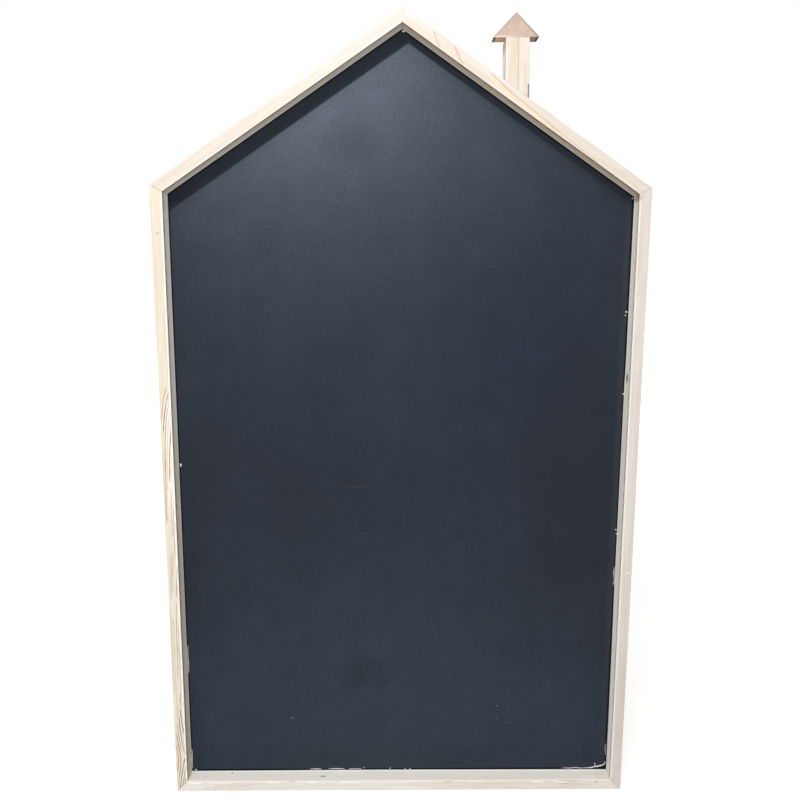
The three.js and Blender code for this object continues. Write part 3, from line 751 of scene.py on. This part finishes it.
BATTENS = {
    "bottom_rail": dict(
        front=(0.788, 0.754, 0.710), inner=(0.921, 0.890, 0.830), pith=(0, 0.030, 0.040),
        ring_width=0.0021, wander=0.0022, seed=1.0, depth_of_grain=0.19, ring_tint=(0.80, 0.73, 0.65),
        two_tone=0.1, arris=0.25, streaks=BOTTOM_RAIL_GRAIN,
        shaded_seam=[(0.020, 0.0217), (0.100, 0.0219), (0.180, 0.0222), (0.250, 0.0226), (0.360, 0.0222),
              (0.585, 0.0213)],
        light_and_tone_along=(0.42, 0.56, (0.92, 0.91, 0.91), (1, 1, 1)),
        knots=[
            ((0.1960, 0.0096, BATTEN), (0.50, 1.30, 1.0), 0.0027, 0.010, 0.004, (0.30, 0.19, 0.16), 0.75),
            ((0.0709, 0.0170, BATTEN), ROUND_KNOT, 0.0013, 0.006, 0.001, KNOT_BROWN, 0.85),
            ((0.0363, 0.0098, BATTEN), ROUND_KNOT, 0.0011, 0.006, 0.001, KNOT_BROWN, 0.50),
            ((0.5666, 0.0, 0.0109), ROUND_KNOT, 0.0013, 0.006, 0.001, KNOT_BROWN, 0.75),
            ((0.5790, 0.0120, BATTEN), (0.9, 0.8, 1.0), 0.0150, 0.006, 0.0, (0.78, 0.69, 0.57), 0.55),
        ],
    ),
    "right_stile": dict(
        front=(0.625, 0.591, 0.555), inner=(0.990, 0.985, 0.945), pith=(0, 0.012, -0.035),
        ring_width=0.0024, wander=0.0012, seed=2.0, depth_of_grain=0.20,
        two_tone=0.4, front_line=0.62, arris=0.40, back_edge=1.0,
        shaded_seam=[(0.020, 0.0192), (0.070, 0.0192), (0.150, 0.0197), (0.220, 0.0210), (0.300, 0.0228),
              (0.420, 0.0232), (0.540, 0.0230), (0.580, 0.0212), (0.660, 0.0206), (0.780, 0.0202)],
        light_and_tone_along=(0.10, 0.45, (1.075, 1.070, 1.070), (0.92, 0.89, 0.86)),
        knots=[
            ((0.5608, 0.0135, BATTEN), (0.38, 0.7, 1.0), 0.0030, 0.008, 0.001, KNOT_BROWN, 0.85),
            ((0.7805, 0.0080, BATTEN), (1.0, 0.5, 1.0), 0.0062, 0.008, 0.0, (0.34, 0.25, 0.17), 0.75),
        ],
        streaks=[
            # A splinter drawn in colour only: a pale lit sliver, painted highlight, and beneath it its
            # painted shadow
            ([(0.3050, 0.0092), (0.3092, 0.0026)], 0.0017, 0.0008, (0.97, 0.93, 0.84), 0.95),
            ([(0.3036, 0.0088), (0.3074, 0.0030)], 0.0014, 0.0008, (0.36, 0.28, 0.21), 0.70),
        ],
    ),
    "right_roof_rail": dict(
        front=(0.732, 0.688, 0.645), inner=(0.680, 0.585, 0.495), pith=(0, 0.085, 0.012),
        ring_width=0.0042, wander=0.0030, seed=3.0, depth_of_grain=0.15,
        front_line=0.9, arris=0.2, back_edge=0.30, streaks=RIGHT_ROOF_GRAIN,
        shaded_seam=[(0.010, 0.0219), (0.200, 0.0222), (0.340, 0.0226)],
        light_and_tone_along=(0.25, 0.15, (0.945, 0.930, 0.895), (1, 1, 1)),
    ),
    "left_roof_rail": dict(
        front=(0.725, 0.682, 0.640), inner=(0.695, 0.645, 0.580), pith=(0, 0.045, 0.030),
        ring_width=0.0030, wander=0.0012, seed=4.0, depth_of_grain=0.16,
        front_line=0.9, arris=0.5, back_edge=0.35,
        shaded_seam=[(0.010, 0.0226), (0.240, 0.0226), (0.290, 0.0216), (0.345, 0.0212)],
        streaks=[([(0.290, 0.0072), (0.320, 0.0062), (0.352, 0.0058)], 0.0016, 0.020, TAN, 0.28)],
    ),
    "left_stile": dict(
        front=(0.752, 0.692, 0.592), inner=(0.950, 0.920, 0.860), pith=(0, 0.060, 0.050),
        ring_width=0.0021, wander=0.0014, seed=5.0, depth_of_grain=0.20,
        front_line=1.0, arris=0.85, streaks=LEFT_STILE_GRAIN,
        shaded_seam=[(0.020, 0.0228), (0.150, 0.0233), (0.780, 0.0239)],
        light_and_tone_along=(0.12, 0.55, (1.030, 1.045, 1.080), (0.73, 0.69, 0.64)),
        knots=[((0.0560, 0, 0.0072), (0.8, 0.8, 0.8), 0.0012, 0.007, 0.002, KNOT_BROWN, 0.55)],
    ),
}

MATERIALS = {name: pine(name, *SIDES[name], **look) for name, look in BATTENS.items()}
MATERIALS["chimney_post"] = pine(
    "chimney_post", (POST_HIGH.x, FRONT, POST_LOW.z), math.pi / 2 + CHIMNEY_LEAN,
    front=(0.722, 0.656, 0.592), inner=(0.815, 0.775, 0.770), pith=(0, -0.050, 0.010), ring_width=0.0050,
    wander=0.0006, seed=6.0, depth_of_grain=0.12, face_width=POST_HIGH.x - POST_LOW.x - 0.0015, arris=0.4,
    streaks=[
        ([(0.002, 0.0134), (0.120, 0.0134)], 0.0017, 0.010, (0.50, 0.39, 0.32), 0.75),
        ([(-0.020, 0.0052), (0.050, 0.0055)], 0.0024, 0.020, (0.57, 0.46, 0.38), 0.50),
        ([(-0.005, 0.0008), (0.0165, 0.0008)], 0.0030, 0.002, (0.16, 0.13, 0.12), 0.95),
        # Painted shadow of the cap on the post's left side, just under it
        ([(0.047, 0.0277), (0.075, 0.0277)], 0.0040, 0.012, (0.57, 0.37, 0.25), 0.70),
    ],
)
MATERIALS["chimney_cap"] = cap_wood()
MATERIALS["chalkboard_panel"] = chalk_paint()
STEEL = bright_steel()
GLUE = dried_glue()

for name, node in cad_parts.items():
    node.data.materials.clear()
    node.data.materials.append(MATERIALS.get(name, STEEL))


def mesh_of(shape, name):
    """The mesh of a shape that is finished."""
    mesh = bpy.data.meshes.new(name)
    shape.to_mesh(mesh)
    shape.free()
    return mesh


def add_object(name, data):
    """A new object in the scene, which shows this mesh, lamp or camera."""
    thing = bpy.data.objects.new(name, data)
    bpy.context.scene.collection.objects.link(thing)
    return thing


def add_glue(name, shape):
    """A new piece of dried glue, which rides on the object's one body."""
    mesh = mesh_of(shape, name)
    mesh.shade_smooth()
    mesh.materials.append(GLUE)
    piece = add_object(name, mesh)
    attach(piece, "root")


THREAD_STEPS = 6
THREAD_SIDES = 8
THREAD_END = 0.15
LUMPS_PER_METRE = 900


def smooth_path(points):
    """Places along a Catmull-Rom curve through points."""
    path = []
    for index in range(len(points) - 1):
        before = points[max(index - 1, 0)]
        start = points[index]
        end = points[index + 1]
        after = points[min(index + 2, len(points) - 1)]
        for step in range(THREAD_STEPS):
            t = step / THREAD_STEPS
            path.append(0.5 * (2 * start + (end - before) * t
                               + (2 * before - 5 * start + 4 * end - after) * t ** 2
                               + (3 * start - before - 3 * end + after) * t ** 3))
    path.append(points[-1])
    return path


def thread(name, points, radius):
    """A thin uneven string of dried glue through points, tapered to both ends."""
    path = smooth_path([Vector(point) for point in points])
    shape = bmesh.new()
    rings = []
    for index, centre in enumerate(path):
        share = index / (len(path) - 1)
        ahead = path[min(index + 1, len(path) - 1)] - path[max(index - 1, 0)]
        side = ahead.cross(Vector((0, 1, 0))).normalized()
        lift = side.cross(ahead).normalized()
        lump = 0.75 + 0.5 * noise.noise(centre * LUMPS_PER_METRE)
        thickness = radius * max(THREAD_END, math.sin(math.pi * share) ** 0.4) * lump
        ring = []
        for turn in range(THREAD_SIDES):
            angle = 2 * math.pi * turn / THREAD_SIDES
            outward = side * math.cos(angle) + lift * math.sin(angle)
            ring.append(shape.verts.new(centre + thickness * outward))
        rings.append(ring)
    for low, high in zip(rings, rings[1:]):
        for turn in range(THREAD_SIDES):
            following = (turn + 1) % THREAD_SIDES
            shape.faces.new((low[turn], low[following], high[following], high[turn]))
    shape.faces.new(reversed(rings[0]))
    shape.faces.new(rings[-1])
    bmesh.ops.recalc_face_normals(shape, faces=shape.faces)
    add_glue(name, shape)


DROP_THICKNESS = 0.0007


def drop(name, centre, width, height, seed):
    """A lumpy drop of dried glue that sits against the panel, squashed towards it."""
    size = (width, DROP_THICKNESS, height)
    shape = bmesh.new()
    bmesh.ops.create_icosphere(shape, subdivisions=3, radius=1.0)
    for vert in shape.verts:
        lump = 1 + 0.35 * noise.noise(vert.co * 1.7 + Vector((seed, seed, seed)))
        vert.co = Vector(centre) + Vector(a * b for a, b in zip(vert.co * lump, size))
    add_glue(name, shape)


def on_panel(x, z):
    """A place that glue on the panel is centred on, just in front of the paint."""
    return (x, PANEL_FACE - 0.0004, z)


# Dried glue that was squeezed out along the edge of the panel: radius, and places in X and Z
for run_name, radius, places in (
    ("left_low", 0.0006, ((-0.2840, 0.1935), (-0.2848, 0.1800), (-0.2844, 0.1650), (-0.2850, 0.1520))),
    ("left_foot", 0.0007, ((-0.2852, 0.0430), (-0.2846, 0.0360), (-0.2852, 0.0240), (-0.2845, 0.0120))),
    ("right_low", 0.0006, ((0.2850, 0.3030), (0.2842, 0.2947), (0.2852, 0.2850), (0.2842, 0.2772))),
    ("right_foot", 0.0005, ((0.2854, 0.0470), (0.2840, 0.0418), (0.2848, 0.0360), (0.2852, 0.0300))),
    ("corner_thin", 0.0006, ((0.2249, 0.0108), (0.2368, 0.0106), (0.2437, 0.0114), (0.2507, 0.0105),
                             (0.2600, 0.0108))),
    ("corner_thick", 0.0010, ((0.2560, 0.0108), (0.2646, 0.0110), (0.2708, 0.0124), (0.2784, 0.0139),
                              (0.2842, 0.0165), (0.2850, 0.0210))),
    ("corner_spur", 0.0006, ((0.2706, 0.0124), (0.2712, 0.0150), (0.2706, 0.0186))),
    ("sill_run_1", 0.0006, ((-0.1235, 0.0107), (-0.1150, 0.0110), (-0.1069, 0.0106))),
    ("sill_run_2", 0.0006, ((-0.0985, 0.0107), (-0.0880, 0.0113), (-0.0752, 0.0108))),
    ("sill_run_3", 0.0005, ((-0.0700, 0.0107), (-0.0610, 0.0110), (-0.0517, 0.0107))),
):
    thread("glue_" + run_name, [on_panel(x, z) for x, z in places], radius)


def roof_line(x):
    """Height of the middle of the joint between the right roof rail and the chimney post, at this X."""
    return SHOULDER + (HALF_WIDTH - x) * math.tan(ROOF_PITCH) + 0.0004


# Glue in the joint under the chimney post and in the mitre at the apex
IN_JOINT = FRONT + 0.0006
JOINT_THREAD_RADIUS = 0.00045
POST_LEFT = POST_LOW.x + 0.0012
POST_RIGHT = POST_HIGH.x - 0.0004
for joint_name, first, last in (
    ("under_post", (POST_LEFT, IN_JOINT, roof_line(POST_LEFT)),
     (POST_RIGHT, IN_JOINT, roof_line(POST_RIGHT))),
    ("in_apex_mitre", (0.0, IN_JOINT, APEX - 0.0010), (0.0, IN_JOINT, APEX - 0.0165)),
):
    thread("glue_" + joint_name, [first, last], JOINT_THREAD_RADIUS)

# Drops of glue on the panel: place in X and Z, half their width and height, and seed
for place_name, x, z, width, height, seed in (
    ("apex", 0.0018, 0.9688, 0.00208, 0.00096, 1.3),
    ("right_shoulder", 0.2845, 0.7776, 0.00072, 0.00112, 2.1),
    ("left", -0.2836, 0.4408, 0.00104, 0.00208, 3.7),
    ("left_corner", -0.2805, 0.0106, 0.00144, 0.00080, 3.9),
    ("right_1", 0.2838, 0.6388, 0.00104, 0.00128, 4.9),
    ("right_2", 0.2828, 0.6345, 0.00072, 0.00080, 4.2),
    ("right_3", 0.2850, 0.5345, 0.00080, 0.00112, 5.2),
    ("right_4", 0.2842, 0.3541, 0.00104, 0.00080, 6.4),
    ("right_5", 0.2850, 0.3486, 0.00064, 0.00096, 6.9),
    ("sill_1", -0.0489, 0.0128, 0.00064, 0.00064, 7.2),
    ("sill_2", -0.0130, 0.0115, 0.00096, 0.00048, 7.8),
    ("sill_3", 0.0078, 0.0107, 0.00088, 0.00048, 8.1),
    ("sill_4", 0.0147, 0.0106, 0.00112, 0.00048, 8.6),
):
    drop("glue_" + place_name, on_panel(x, z), width, height, seed)


def shown_to_camera(n):
    """1 where a ray shows the surface to the camera: straight, mirrored or through glass."""
    path = n.add("LightPath").outputs
    return n.math("MAXIMUM", path["Is Camera Ray"],
                  n.math("MAXIMUM", path["Is Glossy Ray"], path["Is Transmission Ray"]))


FLOOR_HALF_WIDTH = 12.0
GLOW_FROM = 0.8
GLOW_TO = 3.0
GLOW_NEAR = 0.22
GLOW_FAR = 0.50


def pale_floor():
    """A wide pale floor that shows white where it is lit, and keeps the object's shadow."""
    shape = bmesh.new()
    bmesh.ops.create_grid(shape, x_segments=1, y_segments=1, size=FLOOR_HALF_WIDTH)
    floor = add_object("floor", mesh_of(shape, "floor"))
    floor.location.z = UNDERSIDE
    material = bpy.data.materials.new("pale_floor")
    n = empty_tree(material)
    away = n.vector("LENGTH", n.add("TexCoord").outputs["Object"])
    glow_strength = n.ramp(away, GLOW_FROM, GLOW_TO, GLOW_NEAR, GLOW_FAR)
    glow_strength = n.math("MULTIPLY", shown_to_camera(n), glow_strength)
    diffuse = n.add("BsdfDiffuse", {"Color": (0.92, 0.92, 0.91, 1)})
    glow = n.add("Emission", {"Color": (1, 1, 1, 1), "Strength": glow_strength})
    both = n.add("AddShader", {0: diffuse.outputs[0], 1: glow.outputs[0]})
    n.feed(n.add("OutputMaterial").inputs["Surface"], both.outputs[0])
    floor.data.materials.append(material)


FILL = 0.76


def white_world():
    """White behind the object, and an even fill on it."""
    world = bpy.data.worlds.new("white_room")
    bpy.context.scene.world = world
    n = empty_tree(world)
    room = n.add("Background", {"Color": (0.98, 0.99, 1.0, 1), "Strength": FILL})
    white = n.add("Background", {"Color": (1, 1, 1, 1), "Strength": 1.0})
    both = n.add("MixShader", {0: shown_to_camera(n), 1: room.outputs[0], 2: white.outputs[0]})
    n.feed(n.add("OutputWorld").inputs["Surface"], both.outputs[0])


def area_lamp(name, place, aim, size, power):
    lamp = bpy.data.lights.new(name, "AREA")
    lamp.shape = "DISK"
    lamp.size = size
    lamp.energy = power
    holder = add_object(name, lamp)
    holder.location = place
    holder.rotation_euler = (Vector(aim) - Vector(place)).to_track_quat("-Z", "Y").to_euler()


# The camera, fitted to the frame's edges in the photograph: metres, millimetres of film and radians
CAMERA_X = -0.01224
CAMERA_DISTANCE = 0.88056
CAMERA_HEIGHT = 0.66015
LENS = 32.18
SENSOR_WIDTH = 36.0
LOOK_DOWN = math.radians(90 - 8.43)
PAN = -0.0123
ROLL = 0.0018


def photo_camera():
    data = bpy.data.cameras.new("camera")
    data.lens = LENS
    data.sensor_width = SENSOR_WIDTH
    camera = add_object("camera", data)
    turn = Matrix.Rotation(LOOK_DOWN, 4, "X") @ Matrix.Rotation(PAN, 4, "Y") @ Matrix.Rotation(ROLL, 4, "Z")
    camera.matrix_world = Matrix.Translation((CAMERA_X, FRONT - CAMERA_DISTANCE, CAMERA_HEIGHT)) @ turn
    bpy.context.scene.camera = camera


pale_floor()
white_world()
# The key stands close, above and to the left, so that the roof throws its shadow on the panel
area_lamp("key", (-0.286, PANEL_FACE - 0.93, 1.552), (-0.05, 0, 0.55), 0.05, 4.9)
area_lamp("overhead", (-0.5, -2.2, 2.6), (0, 0, 0.4), 1.4, 29.5)
area_lamp("top", (0, -0.7, 2.7), (0, 0, 0), 1.0, 5.0)
photo_camera()

bpy.context.scene.view_settings.view_transform = "Standard"
